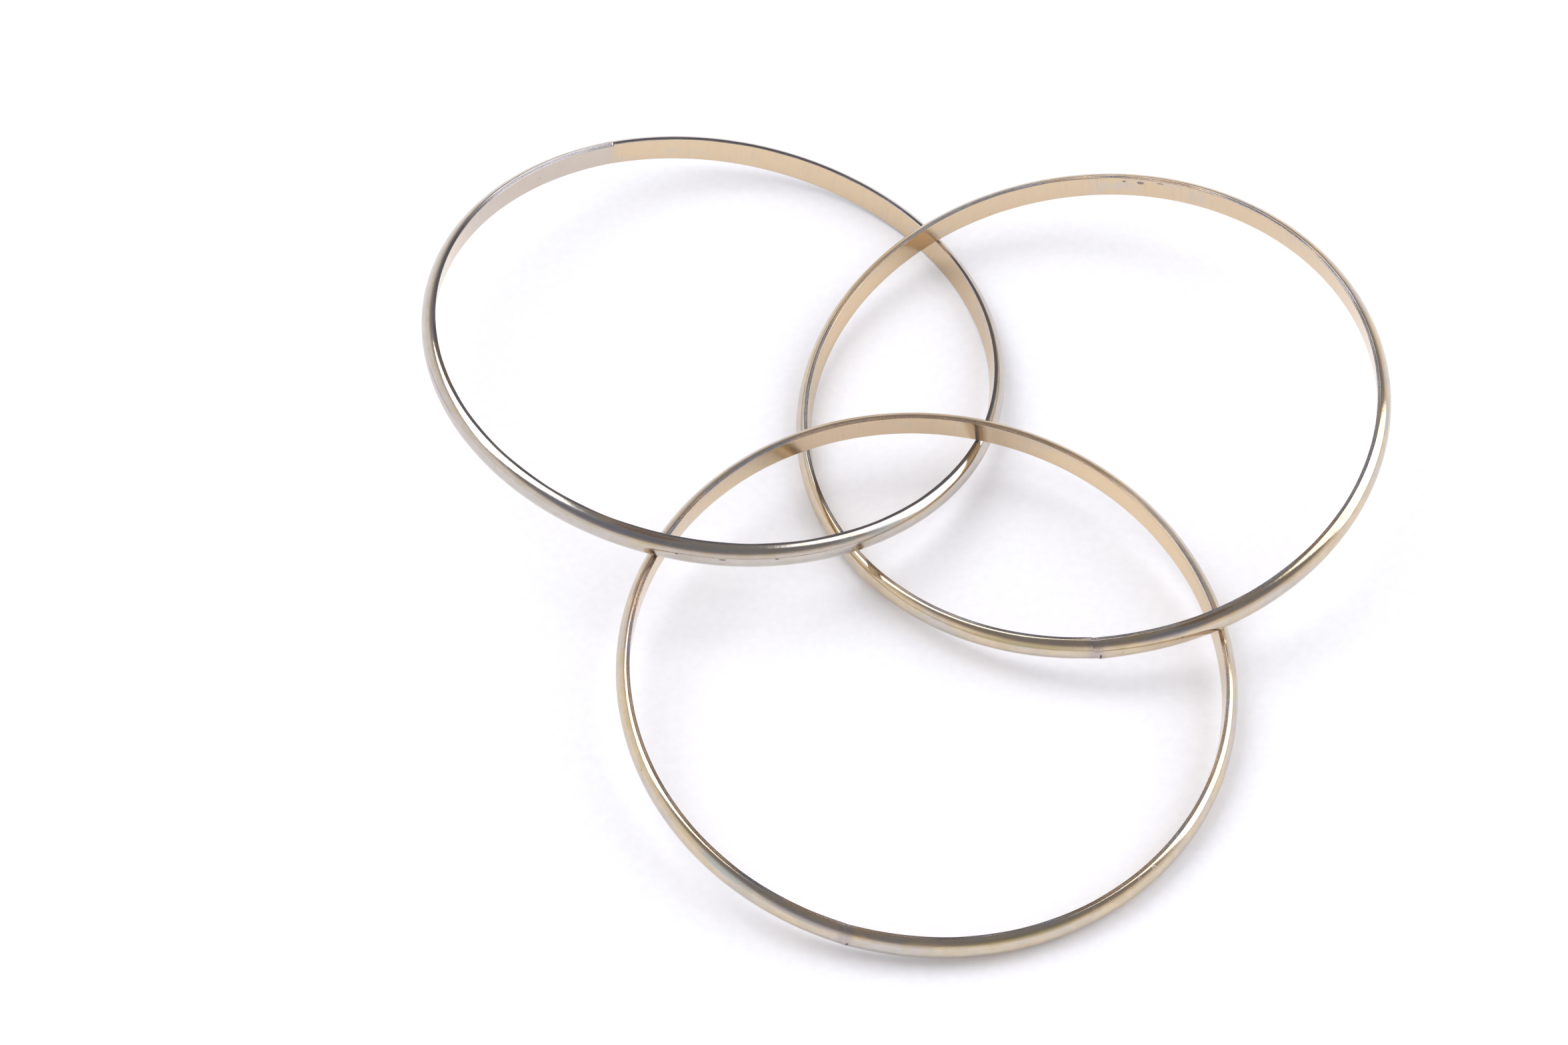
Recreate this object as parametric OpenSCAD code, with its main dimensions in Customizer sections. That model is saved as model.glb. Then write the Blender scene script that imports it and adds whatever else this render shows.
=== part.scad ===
// Three equal bangle hoops, linked through one another and lying as they fall
// on a flat surface. Each hoop is one length of half-round metal strip, flat
// inside and domed outside, bent round until its ends meet and soldered there.
// +Z is up, +Y is the back, and the origin is the middle of the ground they cover.

/* [Strip] */
// Inside diameter of every hoop, across its flat inner face
inside_d = 65; // [60:0.5:70]
// Width of the strip, along the hoop's own axis
strip_w = 3.2; // [2.8:0.1:3.4]
// Thickness of the strip, from its inner face to the crown of its dome
strip_t = 1.5; // [1.2:0.05:1.6]
// Thickness of the strip at its two side edges, where the dome starts
edge_t = 0.4; // [0.2:0.05:0.6]
// Gap between the strip's two ends, filled with solder
solder_gap = 0.15; // [0.05:0.05:0.3]
// Depth that the solder is filed below the strip's surface all round
solder_recess = 0.03; // [0.01:0.01:0.06]

/* [Left hoop] */
// Centre of the left hoop, to the right of the drawing point
left_x = -21.5; // [-24:0.1:-19]
// Centre of the left hoop, behind the drawing point
left_y = 22.3; // [20:0.1:25]
// Angle between the left hoop and the surface it lies on
left_tilt = 10; // [8:0.1:12]
// Compass direction of its low side, anticlockwise from +X
left_low_side = 29; // [20:1:40]
// Place of its soldered joint, anticlockwise round the hoop from its low side
left_seam = 84; // [0:0.5:360]

/* [Right hoop] */
// Centre of the right hoop, to the right of the drawing point
right_x = 21.5; // [19:0.1:24]
// Centre of the right hoop, behind the drawing point
right_y = 13.4; // [11:0.1:16]
// Angle between the right hoop and the surface it lies on
right_tilt = 8.4; // [6:0.1:11]
// Compass direction of its low side, anticlockwise from +X
right_low_side = 195; // [185:1:205]
// Place of its soldered joint, anticlockwise round the hoop from its low side
right_seam = 73.5; // [0:0.5:360]

/* [Front hoop] */
// Centre of the front hoop, to the right of the drawing point
front_x = 2.1; // [0:0.1:5]
// Centre of the front hoop, behind the drawing point
front_y = -22.9; // [-25:0.1:-20]
// Angle between the front hoop and the surface it lies on
front_tilt = 5.7; // [4:0.1:8]
// Compass direction of its low side, anticlockwise from +X
front_low_side = 303; // [293:1:313]
// Place of its soldered joint, anticlockwise round the hoop from its low side
front_seam = 311; // [0:0.5:360]

/* [Hidden] */
$fn = 96;
inside_r = inside_d / 2;

// The dome is one arc, through both edges and the crown.
dome_rise = strip_t - edge_t;
dome_r = (pow(strip_w / 2, 2) + pow(dome_rise, 2)) / (2 * dome_rise);
dome_centre_r = inside_r + strip_t - dome_r;

// The angle that the solder takes up, at the middle of the strip's thickness.
solder_angle = solder_gap / (inside_r + strip_t / 2) * 180 / PI;

// How each hoop lies: its centre, its tilt, its low side and its joint.
X = 0;
Y = 1;
TILT = 2;
LOW_SIDE = 3;
SEAM = 4;
LEFT = [left_x, left_y, left_tilt, left_low_side, left_seam];
RIGHT = [right_x, right_y, right_tilt, right_low_side, right_seam];
FRONT = [front_x, front_y, front_tilt, front_low_side, front_seam];
HOOPS = [LEFT, RIGHT, FRONT];

// The height of a tilted hoop's centre when its lowest edge is on the surface.
function centre_height(lie) =
    (inside_r + edge_t) * sin(lie[TILT]) + strip_w / 2 * cos(lie[TILT]);

// Half the length that a tilted hoop covers along one compass direction.
function half_span(lie, along) =
    dome_centre_r * sqrt(1 - pow(sin(lie[TILT]) * cos(lie[LOW_SIDE] - along), 2)) + dome_r;

// The middle of the ground that all three cover, on X or on Y.
function middle(side, along) = (
    min([for (lie = HOOPS) lie[side] - half_span(lie, along)])
    + max([for (lie = HOOPS) lie[side] + half_span(lie, along)])
) / 2;
middle_x = middle(X, 0);
middle_y = middle(Y, 90);

hoop_colour = [0.80, 0.72, 0.58];
solder_colour = [0.55, 0.48, 0.38];

// The strip's section, out from the hoop's axis: flat inside, domed outside,
// and smaller by a recess on every side.
module strip_section(recess) {
    intersection() {
        translate([dome_centre_r, 0]) circle(r = dome_r - recess);
        translate([inside_r + recess, recess - strip_w / 2])
            square([strip_t, strip_w - 2 * recess]);
    }
}

// The section swept round the hoop's axis, from one direction through an angle.
module swept_strip(from, sweep, recess) {
    rotate([0, 0, from]) rotate_extrude(angle = sweep) strip_section(recess);
}

// Sets a hoop down on the surface, tilted towards its low side.
module laid(lie) {
    translate([lie[X] - middle_x, lie[Y] - middle_y, centre_height(lie)])
        rotate([0, 0, lie[LOW_SIDE]])
            rotate([0, lie[TILT], 0])
                children();
}

// A hoop's strip, open only at its soldered joint.
module hoop(lie) {
    laid(lie) swept_strip(lie[SEAM] + solder_angle / 2, 360 - solder_angle, 0);
}

// The solder that fills the joint, filed just below the strip's surface.
module solder(lie) {
    laid(lie) swept_strip(lie[SEAM] - solder_angle / 2, solder_angle, solder_recess);
}

module left_hoop() {
    color(hoop_colour) hoop(LEFT);
}

module left_hoop_solder() {
    color(solder_colour) solder(LEFT);
}

module right_hoop() {
    color(hoop_colour) hoop(RIGHT);
}

module right_hoop_solder() {
    color(solder_colour) solder(RIGHT);
}

module front_hoop() {
    color(hoop_colour) hoop(FRONT);
}

module front_hoop_solder() {
    color(solder_colour) solder(FRONT);
}

left_hoop();
left_hoop_solder();
right_hoop();
right_hoop_solder();
front_hoop();
front_hoop_solder();
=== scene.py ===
"""Three linked bangle hoops of worn, plated half-round strip, lying on white paper."""
import math

import bpy
import numpy as np
from mathutils import Matrix, Vector


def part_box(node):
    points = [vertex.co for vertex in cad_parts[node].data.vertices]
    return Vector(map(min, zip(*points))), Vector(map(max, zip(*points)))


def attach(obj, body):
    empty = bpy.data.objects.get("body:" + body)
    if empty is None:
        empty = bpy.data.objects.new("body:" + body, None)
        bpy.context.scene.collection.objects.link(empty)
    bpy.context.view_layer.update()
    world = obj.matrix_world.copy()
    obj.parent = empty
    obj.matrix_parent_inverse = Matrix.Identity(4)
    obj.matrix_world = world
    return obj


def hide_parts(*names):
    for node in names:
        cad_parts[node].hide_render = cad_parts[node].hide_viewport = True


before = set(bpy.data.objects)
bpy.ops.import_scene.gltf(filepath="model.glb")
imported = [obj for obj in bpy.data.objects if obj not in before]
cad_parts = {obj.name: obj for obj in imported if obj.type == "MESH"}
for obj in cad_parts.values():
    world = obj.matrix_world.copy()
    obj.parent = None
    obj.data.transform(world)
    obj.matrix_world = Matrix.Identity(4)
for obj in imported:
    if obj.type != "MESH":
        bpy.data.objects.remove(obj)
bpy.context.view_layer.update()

MM = 0.001

# The strip, in millimetres, as the CAD model has it.
INSIDE_R = 32.5
STRIP_W = 3.2
STRIP_T = 1.5
SOLDER_GAP = 0.15

# Half the strip's width, the radius of the hoop at the dome's crown, and the way round the
# middle of the strip.
HALF_W = STRIP_W / 2
CROWN_R = INSIDE_R + STRIP_T
ROUND = 2 * math.pi * (INSIDE_R + STRIP_T / 2)

# How finely a hoop's mesh is divided: steps round the hoop, and steps in the last few
# millimetres on each side of its joint.
STEPS_ROUND = 640
JOINT_ZONE = 5.0
JOINT_STEPS = 60

# Edges sharper than this, in degrees, are shaded as edges.
SHARP_ANGLE = 50

# The rounding of the rims, next to the inner face and next to the dome, as shares of the edge.
FILLET_IN = 0.18
FILLET_OUT = 0.60


# ---------------------------------------------------------------- the hoops

# Each hoop: its lie as in the CAD model, and how its own metal came out.
# tilt: how far it leans, in degrees.
# low: where its lowest side is, in degrees anticlockwise from +X.
# joint: where its joint is, in degrees anticlockwise from its lowest side.
# edge: how thick the strip is at its rims, before rounding, in millimetres.
# kink: how far the ends stand out at the joint, in millimetres.
# drop: how far the end before the joint stands above the end after it, in millimetres.
# slant: how far the cut leans across the strip, in millimetres.
# worn: how deep the upper rim is worn down on its inner side just after the joint, in millimetres.
# gold: how much of the dome keeps its gold, from 0 to 1.
# pale: how much of the inner face is pale just after the joint, from 0 to 1.
# coppery: how much of the rim is coppery rather than steel grey, from 0 to 1; the steel grey is
# painted darker than the metal, a painted reflection of the dim room.
# stain: how strongly the joint is heat-stained, from 0 to 1.
# seed: where its uneven waves and its noises start.
# solder: the darker colour of the joint's filler.
# marks: patches of tarnish and pits, and of painted sheen, each a kind, its distance from the
# joint, its distance from the dome's crown towards the upper rim and on down the inner face, its
# half-length along the strip and its half-width.
HOOPS = {
    "left": dict(
        tilt=10.0, low=29.0, joint=84.0, edge=0.40, kink=0.04, drop=-0.03, slant=0.10, worn=0.22,
        gold=0.15, pale=1.0, coppery=0.25, stain=0.10, seed=3.0, solder=(0.64, 0.55, 0.45),
        marks=[
            ("teal", -98.0, 1.30, 2.6, 0.50),
            ("teal", -103.0, 1.35, 1.8, 0.30),
            ("copper", 83.0, 1.85, 5.0, 0.22),
            ("purple", 52.0, 0.60, 6.0, 0.16),
            ("gold", -92.0, 0.75, 4.5, 0.22),
            ("scar", 87.0, 0.35, 0.25, 0.09),
            ("scar", 92.0, 0.30, 0.45, 0.09),
            ("scar", 98.0, 0.45, 0.30, 0.09),
            ("pale", 4.0, 3.40, 2.2, 0.80),
            ("slate", 78.0, 1.30, 9.0, 0.45),
        ],
    ),
    "right": dict(
        tilt=8.4, low=195.0, joint=73.5, edge=0.40, kink=0.12, drop=0.14, slant=-0.45, worn=0.02,
        gold=0.62, pale=0.0, coppery=0.35, stain=1.0, seed=11.0, solder=(0.42, 0.37, 0.37),
        marks=[
            ("pit", 97.5, 3.15, 0.50, 0.30),
            ("pit", 99.5, 3.05, 0.28, 0.20),
            ("pit", 95.0, 2.85, 0.50, 0.12),
            ("slate", 8.4, 1.30, 4.5, 0.40),
            ("olive", -8.0, 1.05, 8.0, 0.30),
            ("scar", 9.3, 0.55, 0.14, 0.09),
            ("copper", 12.5, 1.85, 4.0, 0.20),
            ("teal", 47.3, 1.00, 3.0, 0.35),
            # A painted sheen: a brighter patch on the inner face that stands in for light, not a
            # colour of the metal.
            ("painted_sheen", -70.0, 4.10, 14.0, 2.20),
        ],
    ),
    "front": dict(
        tilt=5.7, low=303.0, joint=311.0, edge=0.42, kink=0.08, drop=0.04, slant=-0.20, worn=0.02,
        gold=0.60, pale=0.0, coppery=0.60, stain=0.9, seed=23.0, solder=(0.42, 0.38, 0.38),
        marks=[
            ("teal", -14.5, 1.25, 4.5, 0.45),
            ("gold", 8.0, 1.55, 2.2, 0.35),
            ("gold", 1.9, 1.40, 0.40, 0.35),
            ("olive", 19.0, 1.50, 8.0, 0.35),
            ("ring", 27.0, 1.60, 0.24, 0.28),
            ("ring", 33.1, 1.60, 0.24, 0.28),
            ("ring", 35.3, 1.60, 0.24, 0.28),
            ("copper", -52.0, 1.90, 9.0, 0.22),
            ("slate", -5.0, 1.30, 5.5, 0.40),
            # A painted sheen: a brighter patch on the inner face that stands in for light, not a
            # colour of the metal.
            ("painted_sheen", 87.0, 4.10, 17.0, 2.40),
        ],
    ),
}

# Over what distance from the joint the kink, the drop and the slant die away, in millimetres.
KINK_REACH = 2.5
DROP_REACH = 3.0
SLANT_REACH = 1.5

# The worn rim, in millimetres: how far round from the joint it reaches, over what distance it
# fades, how far out from the inner face it reaches, and how far down it is felt.
WORN_LENGTH = 18.0
WORN_FADE = 10.0
WORN_WIDTH = 0.42
WORN_DEPTH = 0.5

# The slight bevel along the whole inner edge, in millimetres: its width, how deep it is on
# average, and how deep at the most.
BEVEL_WIDTH = 0.26
BEVEL_MEAN = 0.02
BEVEL_MOST = 0.07

# How large the filler's section is, as a share of the strip's.
FILLER_SHARE = 0.999


def arc(centre, radius, start, stop, steps):
    """Points on an arc in the strip's section, angles in degrees from straight outwards."""
    angles = np.radians(np.linspace(start, stop, steps))
    return [(centre[0] + radius * math.cos(a), centre[1] + radius * math.sin(a)) for a in angles]


def strip_section(edge):
    """The strip's closed section as (distance from the hoop's axis, height), in millimetres."""
    rise = STRIP_T - edge
    dome_r = (HALF_W ** 2 + rise ** 2) / (2 * rise)
    dome_centre = CROWN_R - dome_r
    fillet_in, fillet_out = FILLET_IN * edge, FILLET_OUT * edge
    lift = HALF_W - fillet_out
    shoulder = dome_centre + math.sqrt((dome_r - fillet_out) ** 2 - lift ** 2)
    meet = math.degrees(math.atan2(lift, shoulder - dome_centre))
    corner = HALF_W - fillet_in
    inner = [(INSIDE_R, z) for z in np.linspace(-corner, corner, 12)]
    top = arc((INSIDE_R + fillet_in, corner), fillet_in, 180, 90, 7)[1:]
    shoulder_top = arc((shoulder, lift), fillet_out, 90, meet, 5)
    dome = arc((dome_centre, 0), dome_r, meet, -meet, 36)[1:]
    shoulder_low = arc((shoulder, -lift), fillet_out, -meet, -90, 5)[1:]
    low = arc((INSIDE_R + fillet_in, -corner), fillet_in, 270, 180, 7)[:-1]
    return np.array(inner + top + shoulder_top + dome + shoulder_low + low)


def along_section(section):
    """The distance of each section point along the outline, from its first, and the whole."""
    closed = np.vstack([section, section[:1]])
    steps = np.linalg.norm(np.diff(closed, axis=0), axis=1)
    return np.concatenate([[0.0], np.cumsum(steps)])


def stations(start, stop):
    """Distances round the hoop at which the section is placed, closer together near both ends."""
    near = np.linspace(0, JOINT_ZONE, JOINT_STEPS, endpoint=False)
    middle = np.linspace(start + JOINT_ZONE, stop - JOINT_ZONE, STEPS_ROUND)
    return np.concatenate([start + near, middle, (stop - near)[::-1]])


def waves(distance, seed, lengths, size):
    """A fixed uneven wave along the strip, made of a few sines of the given lengths."""
    total = np.zeros_like(distance)
    for index, length in enumerate(lengths):
        turns = max(1, round(ROUND / length))
        total += np.sin(2 * math.pi * turns * distance / ROUND + seed * (index + 1.7))
    return size * total / len(lengths)


def bend(distance, hoop):
    """How far the strip strays outwards and upwards from a true circle, in millimetres."""
    from_joint = np.minimum(distance, ROUND - distance)
    first_end = np.where(distance < ROUND / 2, 1.0, -1.0)
    outwards = waves(distance, hoop["seed"], (102, 68), 0.05)
    outwards += waves(distance, hoop["seed"] + 5, (9.0, 5.3, 3.1), 0.004)
    outwards += hoop["kink"] * np.exp(-from_joint / KINK_REACH)
    upwards = waves(distance, hoop["seed"] + 2, (34, 21), 0.012)
    upwards -= hoop["drop"] / 2 * first_end * np.exp(-from_joint / DROP_REACH)
    return outwards, upwards


def rim_wear(distance, section, hoop):
    """How far each point of the upper rim is worn down at each distance, in millimetres."""
    fading = np.clip((WORN_LENGTH + WORN_FADE - distance) / WORN_FADE, 0.0, 1.0)
    bevel = BEVEL_MEAN + waves(distance, hoop["seed"] + 9, (34, 19, 7.7), BEVEL_MOST)
    bevel = np.clip(bevel, 0.0, BEVEL_MOST)
    near_top = np.clip((section[:, 1] - HALF_W + WORN_DEPTH) / WORN_DEPTH, 0.0, 1.0)
    outwards = section[:, 0] - INSIDE_R
    wide = near_top * np.clip((WORN_WIDTH - outwards) / WORN_WIDTH, 0.0, 1.0)
    narrow = near_top * np.clip((BEVEL_WIDTH - outwards) / BEVEL_WIDTH, 0.0, 1.0)
    return (hoop["worn"] * fading)[:, None] * wide[None, :] + bevel[:, None] * narrow[None, :]


def lay_down(hoop, cad_node):
    """The matrix that takes a hoop's own axes to where the CAD node lies."""
    low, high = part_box(cad_node)
    centre = (Vector(low) + Vector(high)) / 2
    turn = Matrix.Rotation(math.radians(hoop["low"]), 4, "Z")
    lean = Matrix.Rotation(math.radians(hoop["tilt"]), 4, "Y")
    start = Matrix.Rotation(math.radians(hoop["joint"]), 4, "Z")
    return Matrix.Translation(centre) @ turn @ lean @ start @ Matrix.Scale(MM, 4)


def strip_points(section, distances, hoop):
    """Where each section point lies at each distance, in the hoop's own axes."""
    outwards, upwards = bend(distances, hoop)
    radius = section[None, :, 0] + outwards[:, None]
    height = section[None, :, 1] + upwards[:, None] - rim_wear(distances, section, hoop)
    from_joint = np.minimum(distances, ROUND - distances)
    lean = hoop["slant"] * np.exp(-from_joint / SLANT_REACH)
    along = distances[:, None] + lean[:, None] * section[None, :, 1] / HALF_W
    angle = along / ROUND * 2 * math.pi
    return np.stack([radius * np.cos(angle), radius * np.sin(angle), height], axis=-1)


def strip_faces(count, sides):
    """The faces between sections, and one at each end, each corner as (section, point on it)."""
    faces = []
    for i in range(count - 1):
        for j in range(sides):
            faces.append(((i, j), (i + 1, j), (i + 1, j + 1), (i, j + 1)))
    faces.append(tuple((0, j) for j in range(sides)))
    faces.append(tuple((count - 1, j) for j in reversed(range(sides))))
    return faces


def sweep(name, section, distances, hoop, cad_node):
    """A solid made by carrying the section round the hoop, with strip coordinates as its UVs."""
    sides = len(section)
    points = strip_points(section, distances, hoop)
    faces = strip_faces(len(distances), sides)
    mesh = bpy.data.meshes.new(name)
    numbered = [tuple(i * sides + j % sides for i, j in face) for face in faces]
    mesh.from_pydata(points.reshape(-1, 3).tolist(), [], numbered)
    outline = along_section(section)
    uv = mesh.uv_layers.new(name="strip")
    places = [(distances[i], outline[j]) for face in faces for i, j in face]
    uv.data.foreach_set("uv", np.array(places, dtype=np.float32).ravel())
    mesh.transform(lay_down(hoop, cad_node))
    mesh.shade_smooth()
    mesh.set_sharp_from_angle(angle=math.radians(SHARP_ANGLE))
    mesh.update()
    piece = bpy.data.objects.new(name, mesh)
    bpy.context.scene.collection.objects.link(piece)
    return piece


# ---------------------------------------------------------------- materials


class Nodes:
    """Builds the nodes of a material or a world."""

    def __init__(self, tree):
        self.tree = tree

    def add(self, kind, **settings):
        node = self.tree.nodes.new(kind)
        for key, value in settings.items():
            setattr(node, key, value)
        return node

    def feed(self, socket, value):
        if isinstance(value, bpy.types.NodeSocket):
            self.tree.links.new(value, socket)
        else:
            socket.default_value = value

    def math(self, operation, a, b=0.0):
        node = self.add("ShaderNodeMath", operation=operation)
        self.feed(node.inputs[0], a)
        self.feed(node.inputs[1], b)
        return node.outputs[0]

    def between(self, value, low, high, to_low=0.0, to_high=1.0):
        """A smooth step of value from low to high."""
        node = self.add("ShaderNodeMapRange", interpolation_type="SMOOTHSTEP")
        for socket, number in zip(node.inputs, (value, low, high, to_low, to_high)):
            self.feed(socket, number)
        return node.outputs[0]

    def mix(self, share, a, b):
        """A colour between a and b, each a socket or three numbers."""
        node = self.add("ShaderNodeMix", data_type="RGBA")
        self.feed(node.inputs["Factor"], share)
        self.feed(node.inputs["A"], a if isinstance(a, bpy.types.NodeSocket) else (*a, 1))
        self.feed(node.inputs["B"], b if isinstance(b, bpy.types.NodeSocket) else (*b, 1))
        return node.outputs["Result"]

    def noise(self, place, scale, detail, roughness, w=0.0):
        """Smooth noise; w picks a different pattern."""
        node = self.add("ShaderNodeTexNoise", noise_dimensions="4D")
        self.feed(node.inputs["Vector"], place)
        self.feed(node.inputs["W"], w)
        self.feed(node.inputs["Scale"], scale)
        self.feed(node.inputs["Detail"], detail)
        self.feed(node.inputs["Roughness"], roughness)
        return node.outputs["Fac"]

    def cells(self, place, scale, w):
        """The distance to the nearest of scattered points, for pits and specks."""
        node = self.add("ShaderNodeTexVoronoi", voronoi_dimensions="4D")
        self.feed(node.inputs["Vector"], place)
        self.feed(node.inputs["W"], w)
        self.feed(node.inputs["Scale"], scale)
        return node.outputs["Distance"]

    def stretched(self, place, along, across):
        """Strip coordinates scaled differently along and across the strip."""
        node = self.add("ShaderNodeMapping")
        self.feed(node.inputs["Vector"], place)
        node.inputs["Scale"].default_value = (along, across, 1)
        return node.outputs["Vector"]


def new_material(name):
    """A material with its nodes' builder and its shader."""
    material = bpy.data.materials.new(name)
    material.use_nodes = True
    return material, Nodes(material.node_tree), material.node_tree.nodes["Principled BSDF"]


def bumped(n, height, strength, distance):
    """A normal bent by a height."""
    bump = n.add("ShaderNodeBump")
    bump.inputs["Strength"].default_value = strength
    bump.inputs["Distance"].default_value = distance
    n.feed(bump.inputs["Height"], height)
    return bump.outputs["Normal"]


SILVER = (0.59, 0.54, 0.485)
GOLD = (0.68, 0.56, 0.40)
INSIDE_GOLD = (0.715, 0.56, 0.38)
INSIDE_PALE = (0.63, 0.555, 0.475)
# Painted sheen: a brighter gold laid on the inner face to stand in for light falling there.
PAINTED_SHEEN_GOLD = (0.86, 0.66, 0.43)
SHADE = (0.58, 0.47, 0.34)
OLIVE = (0.50, 0.44, 0.27)
TEAL = (0.43, 0.47, 0.47)
PURPLE = (0.42, 0.35, 0.38)
COPPER = (0.36, 0.24, 0.18)
STEEL_PAINTED_DARK = (0.21, 0.21, 0.25)
# Painted reflection: a steel grey far darker than the metal, standing in for the dim room that the
# rims reflect.
SLATE = (0.42, 0.42, 0.46)
STAIN = (0.44, 0.39, 0.40)
SCAR = (0.10, 0.06, 0.05)
PIT = (0.16, 0.15, 0.17)
PAPER_GREY = (0.86, 0.865, 0.905)
PAPER_WHITE = (0.89, 0.895, 0.925)

# The colour of each kind of mark.
TINTS = {
    "teal": TEAL, "purple": PURPLE, "olive": OLIVE, "copper": COPPER, "slate": SLATE, "gold": GOLD,
    "pale": INSIDE_PALE, "painted_sheen": PAINTED_SHEEN_GOLD, "ring": INSIDE_PALE, "scar": SCAR, "pit": PIT,
}


# How far past the inner face's rounding the middle of the dark rim lies, in millimetres.
RIM_MIDDLE = 0.10


class Faces:
    """Where the strip's faces lie along its outline, in millimetres from the first point."""

    def __init__(self, edge):
        whole = along_section(strip_section(edge))[-1]
        rounding = math.pi / 2 * FILLET_IN * edge
        self.inner_end = STRIP_W - 2 * FILLET_IN * edge
        self.top_rim = self.inner_end + rounding + RIM_MIDDLE
        self.low_rim = whole - rounding - RIM_MIDDLE
        self.crown = (self.top_rim + self.low_rim) / 2


class StripPattern:
    """The places and noises that one hoop's material is painted from.

    signed is the distance from the joint, positive anticlockwise seen from above; across is the
    distance along the outline; inside and rims are one on those faces and zero elsewhere.
    """

    def __init__(self, n, hoop):
        self.faces = Faces(hoop["edge"])
        strip = n.add("ShaderNodeUVMap", uv_map="strip").outputs["UV"]
        split = n.add("ShaderNodeSeparateXYZ")
        n.feed(split.inputs[0], strip)
        along, self.across = split.outputs["X"], split.outputs["Y"]
        past_half = n.math("GREATER_THAN", along, ROUND / 2)
        self.signed = n.math("SUBTRACT", along, n.math("MULTIPLY", past_half, ROUND))
        self.from_joint = n.math("ABSOLUTE", self.signed)

        def noise(along, across, detail, roughness, number):
            place = n.stretched(strip, along, across)
            return n.noise(place, 1.0, detail, roughness, hoop["seed"] + number)

        def cells(size, number):
            return n.cells(n.stretched(strip, size, size), 1.0, hoop["seed"] + number)

        self.clouds = noise(0.08, 0.20, 4.0, 0.55, 0)
        self.patches = noise(0.55, 0.9, 5.0, 0.62, 1)
        self.bars = noise(2.4, 0.20, 3.0, 0.6, 2)
        self.fine = noise(6.0, 6.0, 4.0, 0.7, 3)
        self.hairs = noise(0.5, 26.0, 2.0, 0.7, 4)
        self.specks = cells(1.2, 5)
        self.pits = cells(2.1, 6)
        self.grain = noise(6.0, 10.0, 4.0, 0.75, 7)
        self.streaks = noise(0.22, 3.5, 4.0, 0.65, 8)
        self.ragged = n.math("MULTIPLY", n.math("SUBTRACT", self.fine, 0.5), 1.6)

        end = self.faces.inner_end
        self.inside = n.between(self.across, end - 0.04, end + 0.05, 1.0, 0.0)
        self.rims = self.rim_mask(n)

    def rim_mask(self, n):
        """One on both rims of the strip."""
        top = n.math("ABSOLUTE", n.math("SUBTRACT", self.across, self.faces.top_rim))
        low = n.math("ABSOLUTE", n.math("SUBTRACT", self.across, self.faces.low_rim))
        return n.between(n.math("MINIMUM", top, low), 0.12, 0.22, 1.0, 0.0)

    def from_spot(self, n, at, half_length, half_width):
        """How far away a spot's middle is, where one is the spot's edge."""
        x = n.math("DIVIDE", n.math("SUBTRACT", self.signed, at[0]), half_length)
        y = n.math("DIVIDE", n.math("SUBTRACT", self.across, at[1]), half_width)
        return n.math("SQRT", n.math("ADD", n.math("MULTIPLY", x, x), n.math("MULTIPLY", y, y)))


def inside_colour(n, strip, hoop):
    """Satin gold, pale in places and just after the joint, barred and freckled."""
    bars = n.math("MULTIPLY", n.math("SUBTRACT", strip.bars, 0.5), 0.30)
    mottle = n.math("ADD", strip.clouds, bars)
    fading = n.between(strip.signed, 18.0, 40.0, 1.0, 0.0)
    after = n.math("MULTIPLY", n.between(strip.signed, -1.0, 1.0), fading)
    pale = n.math("MAXIMUM", n.between(mottle, 0.54, 0.70), n.math("MULTIPLY", after, hoop["pale"]))
    colour = n.mix(pale, INSIDE_GOLD, INSIDE_PALE)
    freckle = n.math("MULTIPLY", n.between(strip.fine, 0.54, 0.70), 0.45)
    colour = n.mix(freckle, colour, OLIVE)
    patchy = n.between(strip.patches, 0.35, 0.6, 0.1, 0.4)
    barred = n.math("MULTIPLY", n.between(strip.bars, 0.46, 0.72), patchy)
    return n.mix(barred, colour, SHADE)


def dome_colour(n, strip, hoop):
    """Silvery, with the gold left in places and streaks of tarnish."""
    gold_edge = 0.68 - 0.36 * hoop["gold"]
    colour = n.mix(n.between(strip.clouds, gold_edge - 0.08, gold_edge + 0.10), SILVER, GOLD)
    tarnish = n.mix(n.between(strip.streaks, 0.38, 0.62), TEAL, PURPLE)
    tarnish = n.mix(n.between(strip.patches, 0.50, 0.62), tarnish, OLIVE)
    share = n.math("MULTIPLY", n.between(strip.patches, 0.40, 0.62), 0.36)
    return n.mix(share, colour, tarnish)


def with_dark_rims(n, strip, hoop, colour):
    """The colour with coppery rims and steel-grey rims painted dark as a reflection of the dim room,
    and a few dark specks.
    """
    copper_edge = 0.66 - 0.32 * hoop["coppery"]
    # The rims: coppery wear mixed with a steel grey painted dark as a reflection of the dim room.
    rim_colour = n.mix(n.between(strip.clouds, copper_edge - 0.06, copper_edge + 0.06), STEEL_PAINTED_DARK, COPPER)
    share = n.math("MULTIPLY", strip.rims, n.between(strip.fine, 0.40, 0.60, 0.92, 0.55))
    colour = n.mix(share, colour, rim_colour)
    specks = n.between(strip.specks, 0.05, 0.15, 0.85, 0.0)
    specks = n.math("MULTIPLY", specks, n.between(strip.patches, 0.50, 0.60))
    return n.mix(specks, colour, SCAR)


def joint_stain(n, strip, hoop):
    """How strongly the metal is heat-stained near the joint."""
    uneven = n.between(strip.fine, 0.3, 0.6, 0.7, 1.0)
    return n.math("MULTIPLY", n.between(strip.from_joint, 0.35, 1.2, hoop["stain"], 0.0), uneven)


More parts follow.
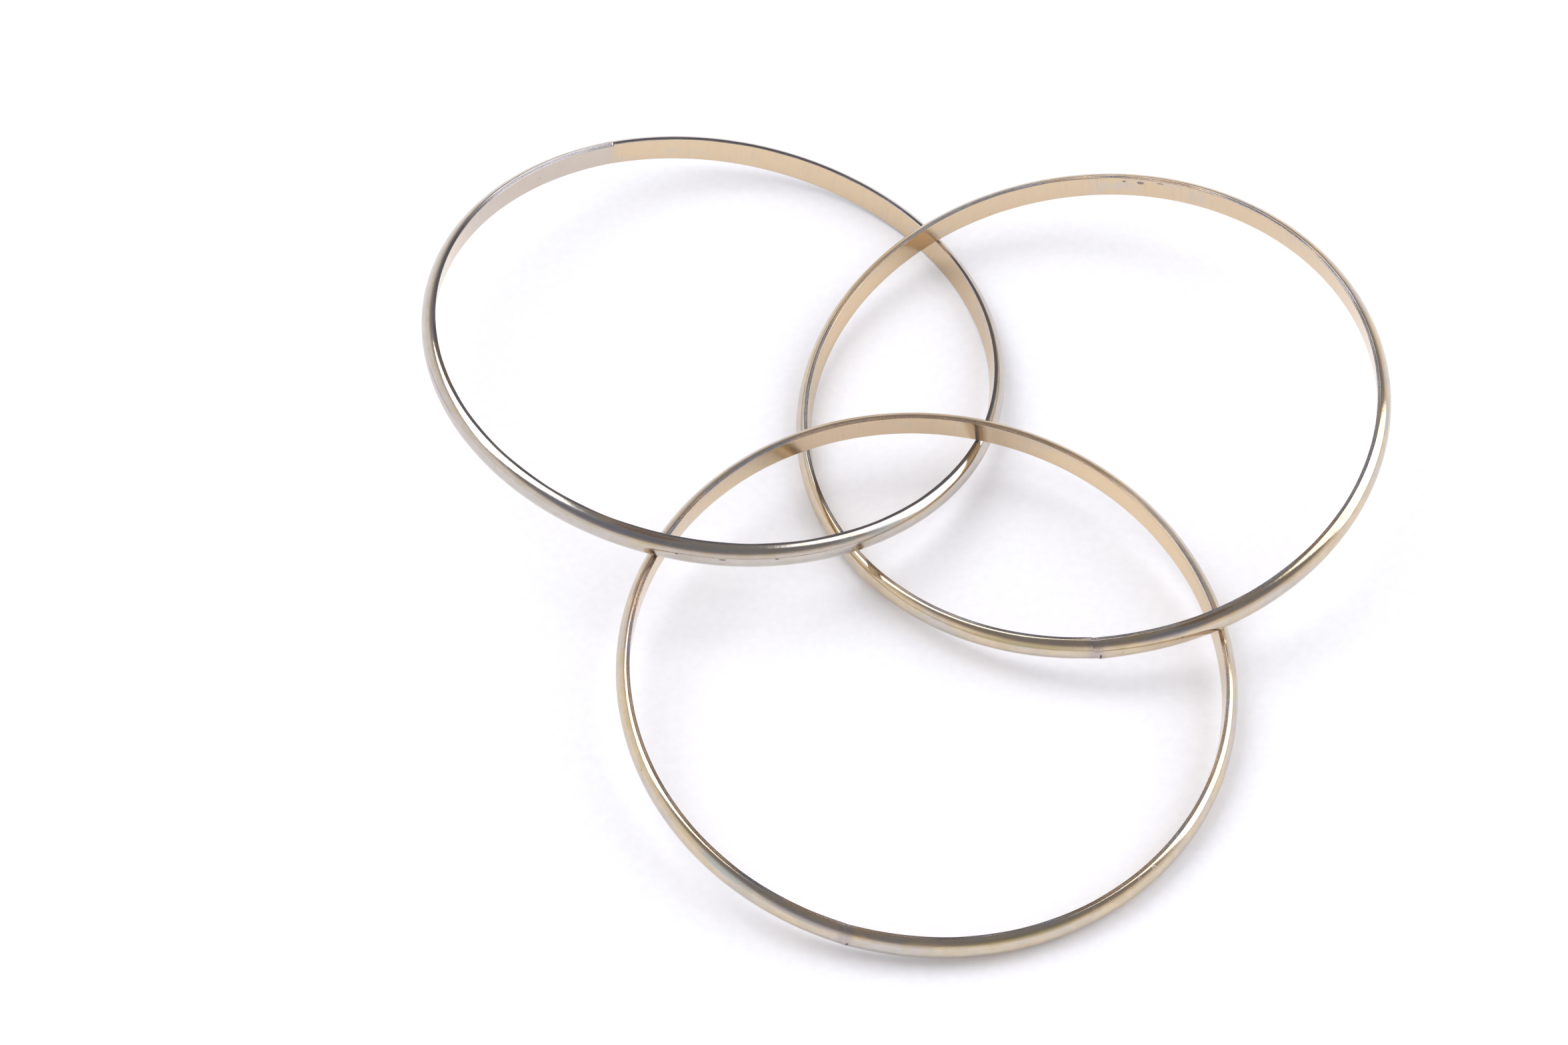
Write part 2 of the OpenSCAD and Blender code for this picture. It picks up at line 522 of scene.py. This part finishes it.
def joint_scar(n, strip, hoop):
    """A short dark line across the dome's lower half, at the filed joint, and a pit beside it."""
    crown = strip.faces.crown
    lean = n.math("MULTIPLY", n.math("SUBTRACT", strip.across, crown), -0.35)
    off_line = n.math("ABSOLUTE", n.math("SUBTRACT", strip.signed, n.math("ADD", lean, 0.35)))
    line = n.between(off_line, 0.04, 0.15, 1.0, 0.0)
    off_middle = n.math("ABSOLUTE", n.math("SUBTRACT", strip.across, crown + 0.35))
    reach = n.between(off_middle, 0.40, 0.62, 1.0, 0.0)
    pit = n.between(strip.from_spot(n, (-0.85, crown + 0.70), 0.24, 0.16), 0.4, 1.0, 1.0, 0.0)
    scar = n.math("MAXIMUM", n.math("MULTIPLY", line, reach), pit)
    return n.math("MULTIPLY", scar, hoop["stain"])


def mark_share(n, strip, kind, distance):
    """How much of the colour a mark takes over: rings are outlines, patches of painted sheen fade
    slowly.
    """
    if kind == "ring":
        off_outline = n.math("ABSOLUTE", n.math("SUBTRACT", distance, 0.8))
        return n.between(off_outline, 0.10, 0.35, 0.9, 0.0)
    distance = n.math("ADD", distance, strip.ragged)
    # Painted sheen: a brighter patch with a soft edge, standing in for light on the inner face.
    if kind == "painted_sheen":
        return n.between(distance, 0.30, 1.15, 0.85, 0.0)
    return n.between(distance, 0.55, 1.15, 0.8, 0.0)


def with_marks(n, strip, hoop, colour):
    """The colour with the hoop's marks laid over it, and how much they cover."""
    cover = 0.0
    for kind, away, towards_rim, half_length, half_width in hoop["marks"]:
        at = (away, strip.faces.crown - towards_rim)
        share = mark_share(n, strip, kind, strip.from_spot(n, at, half_length, half_width))
        colour = n.mix(share, colour, TINTS[kind])
        cover = n.math("MAXIMUM", cover, share)
    return colour, cover


def polish(n, strip, dulled):
    """The roughness: polished, with dull patches, streaks and hair scratches."""
    rough = n.between(strip.patches, 0.35, 0.75, 0.07, 0.15)
    for mask, amount in (
        (n.between(strip.streaks, 0.5, 0.7), 0.05),
        (strip.inside, 0.02),
        (n.between(strip.hairs, 0.5, 0.8), 0.05),
        (dulled, 0.14),
    ):
        rough = n.math("ADD", rough, n.math("MULTIPLY", mask, amount))
    return rough


def relief(n, strip, cover, scar):
    """The height of the fine detail, in millimetres: pits, scratches, rim grain and the scar."""
    pits = n.between(strip.pits, 0.03, 0.14, -1.0, 0.0)
    pits = n.math("MULTIPLY", pits, n.between(strip.clouds, 0.45, 0.60))
    fine_inside = n.math("ADD", n.math("MULTIPLY", strip.inside, 0.004), 0.002)
    height = n.math("MULTIPLY", pits, 0.020)
    for shape, amount in (
        (strip.hairs, 0.0022),
        (strip.bars, 0.0045),
        (n.math("MULTIPLY", strip.grain, strip.rims), 0.028),
        (strip.fine, fine_inside),
        (n.math("MULTIPLY", strip.fine, cover), 0.006),
        (scar, -0.06),
    ):
        height = n.math("ADD", height, n.math("MULTIPLY", shape, amount))
    return height


def plated_brass(name, hoop):
    """Worn plating: satin gold inside, silvery and polished on the dome, dark at the rims, partly as
    a painted dark reflection.
    """
    material, n, shader = new_material(name)
    strip = StripPattern(n, hoop)
    colour = n.mix(strip.inside, dome_colour(n, strip, hoop), inside_colour(n, strip, hoop))
    colour = with_dark_rims(n, strip, hoop, colour)
    stain = joint_stain(n, strip, hoop)
    colour = n.mix(n.math("MULTIPLY", stain, 0.75), colour, STAIN)
    scar = joint_scar(n, strip, hoop)
    colour = n.mix(scar, colour, SCAR)
    colour, cover = with_marks(n, strip, hoop, colour)
    n.feed(shader.inputs["Base Color"], colour)
    shader.inputs["Metallic"].default_value = 1.0
    n.feed(shader.inputs["Roughness"], polish(n, strip, n.math("MAXIMUM", stain, cover)))
    n.feed(shader.inputs["Normal"], bumped(n, relief(n, strip, cover, scar), 1.0, MM))
    return material


def hard_solder(name, shade):
    """The filler in a hoop's joint, filed flush and a little duller than the strip."""
    material, n, shader = new_material(name)
    place = n.add("ShaderNodeTexCoord").outputs["Object"]
    mottle = n.noise(place, 6000.0, 3.0, 0.6)
    n.feed(shader.inputs["Base Color"], n.mix(n.between(mottle, 0.35, 0.65), shade, INSIDE_PALE))
    shader.inputs["Metallic"].default_value = 1.0
    n.feed(shader.inputs["Roughness"], n.between(mottle, 0.3, 0.7, 0.12, 0.22))
    return material


# ---------------------------------------------------------------- pieces


def add_band(side, hoop, section):
    """The hoop's strip, from one side of the joint round to the other."""
    half_gap = SOLDER_GAP / 2
    band = sweep(f"{side}_band", section, stations(half_gap, ROUND - half_gap), hoop, f"{side}_hoop")
    band.data.materials.append(plated_brass(f"plated_brass_{side}", hoop))
    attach(band, f"{side}_ring")
    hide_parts(f"{side}_hoop")


def add_filler(side, hoop, section):
    """The solder that fills the joint, a hair smaller all round than the strip."""
    half_gap = SOLDER_GAP / 2
    middle = np.array([INSIDE_R + STRIP_T / 2, 0.0])
    recessed = middle + (section - middle) * FILLER_SHARE
    distances = np.linspace(-half_gap, half_gap, 5)
    filler = sweep(f"{side}_joint_solder", recessed, distances, hoop, f"{side}_hoop")
    filler.data.materials.append(hard_solder(f"hard_solder_{side}", hoop["solder"]))
    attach(filler, f"{side}_ring")
    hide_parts(f"{side}_hoop_solder")


for side, hoop in HOOPS.items():
    section = strip_section(hoop["edge"])
    add_band(side, hoop, section)
    add_filler(side, hoop, section)


# ---------------------------------------------------------------- floor, light and camera


def paper_floor():
    """White paper that runs on well past the view."""
    half = 2.0
    corners = [(-half, -half, 0), (half, -half, 0), (half, half, 0), (-half, half, 0)]
    mesh = bpy.data.meshes.new("paper")
    mesh.from_pydata(corners, [], [(0, 1, 2, 3)])
    floor = bpy.data.objects.new("paper", mesh)
    bpy.context.scene.collection.objects.link(floor)
    material, n, shader = new_material("paper")
    fibre = n.noise(n.add("ShaderNodeTexCoord").outputs["Object"], 900.0, 4.0, 0.6)
    colour = n.mix(n.between(fibre, 0.3, 0.7), PAPER_GREY, PAPER_WHITE)
    n.feed(shader.inputs["Base Color"], colour)
    shader.inputs["Roughness"].default_value = 0.9
    shader.inputs["Specular IOR Level"].default_value = 0.2
    n.feed(shader.inputs["Normal"], bumped(n, fibre, 0.3, 0.02 * MM))
    floor.data.materials.append(material)


def softbox(name, azimuth, elevation, distance, width, height, radiance, colour):
    """A soft light aimed at the middle of the floor; angles in degrees, azimuth from +X."""
    data = bpy.data.lights.new(name, "AREA")
    data.shape = "RECTANGLE"
    data.size, data.size_y = width, height
    data.energy = radiance * math.pi * width * height
    data.color = colour
    lamp = bpy.data.objects.new(name, data)
    bpy.context.scene.collection.objects.link(lamp)
    turn, rise = math.radians(azimuth), math.radians(elevation)
    level = math.cos(rise)
    away = Vector((math.cos(turn) * level, math.sin(turn) * level, math.sin(rise)))
    lamp.location = away * distance
    lamp.rotation_euler = away.to_track_quat("Z", "Y").to_euler()
    lamp.visible_camera = False
    return lamp


# How bright the room is, by the sine of the angle above the horizon.
ROOM_STOPS = (
    (0.00, (1.00, 0.97, 0.94)),
    (0.20, (0.92, 0.87, 0.83)),
    (0.30, (0.78, 0.71, 0.66)),
    (0.42, (0.46, 0.40, 0.36)),
    (0.52, (0.29, 0.28, 0.29)),
    (0.75, (0.25, 0.25, 0.275)),
    (1.00, (0.30, 0.28, 0.27)),
)

# How much further up those stops it looks straight behind, and further down on the left.
DIM_BEHIND = 0.25
PALE_LEFT = 0.24

# What the camera sees of it, past the paper.
ROOM_SEEN = (0.93, 0.93, 0.94)


def room_ramp(n, height):
    """The room's brightness at a height."""
    ramp = n.add("ShaderNodeValToRGB")
    elements = ramp.color_ramp.elements
    while len(elements) < len(ROOM_STOPS):
        elements.new(0.5)
    for element, (position, colour) in zip(elements, ROOM_STOPS):
        element.position = position
        element.color = (*colour, 1)
    n.feed(ramp.inputs["Fac"], height)
    return ramp.outputs["Color"]


def dim_room():
    """The room round the paper: pale low down, dim above and behind; the camera sees it pale."""
    world = bpy.data.worlds.new("room")
    bpy.context.scene.world = world
    world.use_nodes = True
    n = Nodes(world.node_tree)
    split = n.add("ShaderNodeSeparateXYZ")
    n.feed(split.inputs[0], n.add("ShaderNodeTexCoord").outputs["Generated"])
    behind = n.between(split.outputs["Y"], 0.80, 0.97, 0.0, DIM_BEHIND)
    left = n.between(split.outputs["X"], -0.90, -0.45, -PALE_LEFT, 0.0)
    height = n.math("ADD", split.outputs["Z"], n.math("ADD", behind, left))
    seen = n.add("ShaderNodeLightPath").outputs["Is Camera Ray"]
    colour = n.mix(seen, room_ramp(n, height), ROOM_SEEN)
    n.feed(world.node_tree.nodes["Background"].inputs["Color"], colour)


def photo_camera():
    """A long lens looking down at the hoops from the front."""
    elevation = math.radians(52.8)
    distance = 0.4309
    aim = Vector((-0.0136, 0.0018, 0.0))
    data = bpy.data.cameras.new("camera")
    data.lens = 86.83
    data.sensor_width = 36.0
    camera = bpy.data.objects.new("camera", data)
    bpy.context.scene.collection.objects.link(camera)
    back = Vector((0, -math.cos(elevation), math.sin(elevation)))
    camera.location = aim + back * distance
    camera.rotation_euler = (math.pi / 2 - elevation, 0, 0)
    bpy.context.scene.camera = camera


# The colours of the softboxes' light and of the light that the ceiling throws back.
WHITE = (0.985, 0.99, 1.0)
COOL = (0.94, 0.95, 1.0)

paper_floor()
softbox("left_softbox", 156, 57, 0.95, width=0.76, height=0.68, radiance=2.55, colour=WHITE)
softbox("right_softbox", 9, 38, 0.95, width=0.67, height=0.97, radiance=2.0, colour=WHITE)
ceiling = softbox("ceiling_bounce", 0, 90, 1.1, width=8.0, height=8.0, radiance=0.37, colour=COOL)
ceiling.visible_glossy = False
dim_room()
photo_camera()
bpy.context.scene.view_settings.view_transform = "Standard"
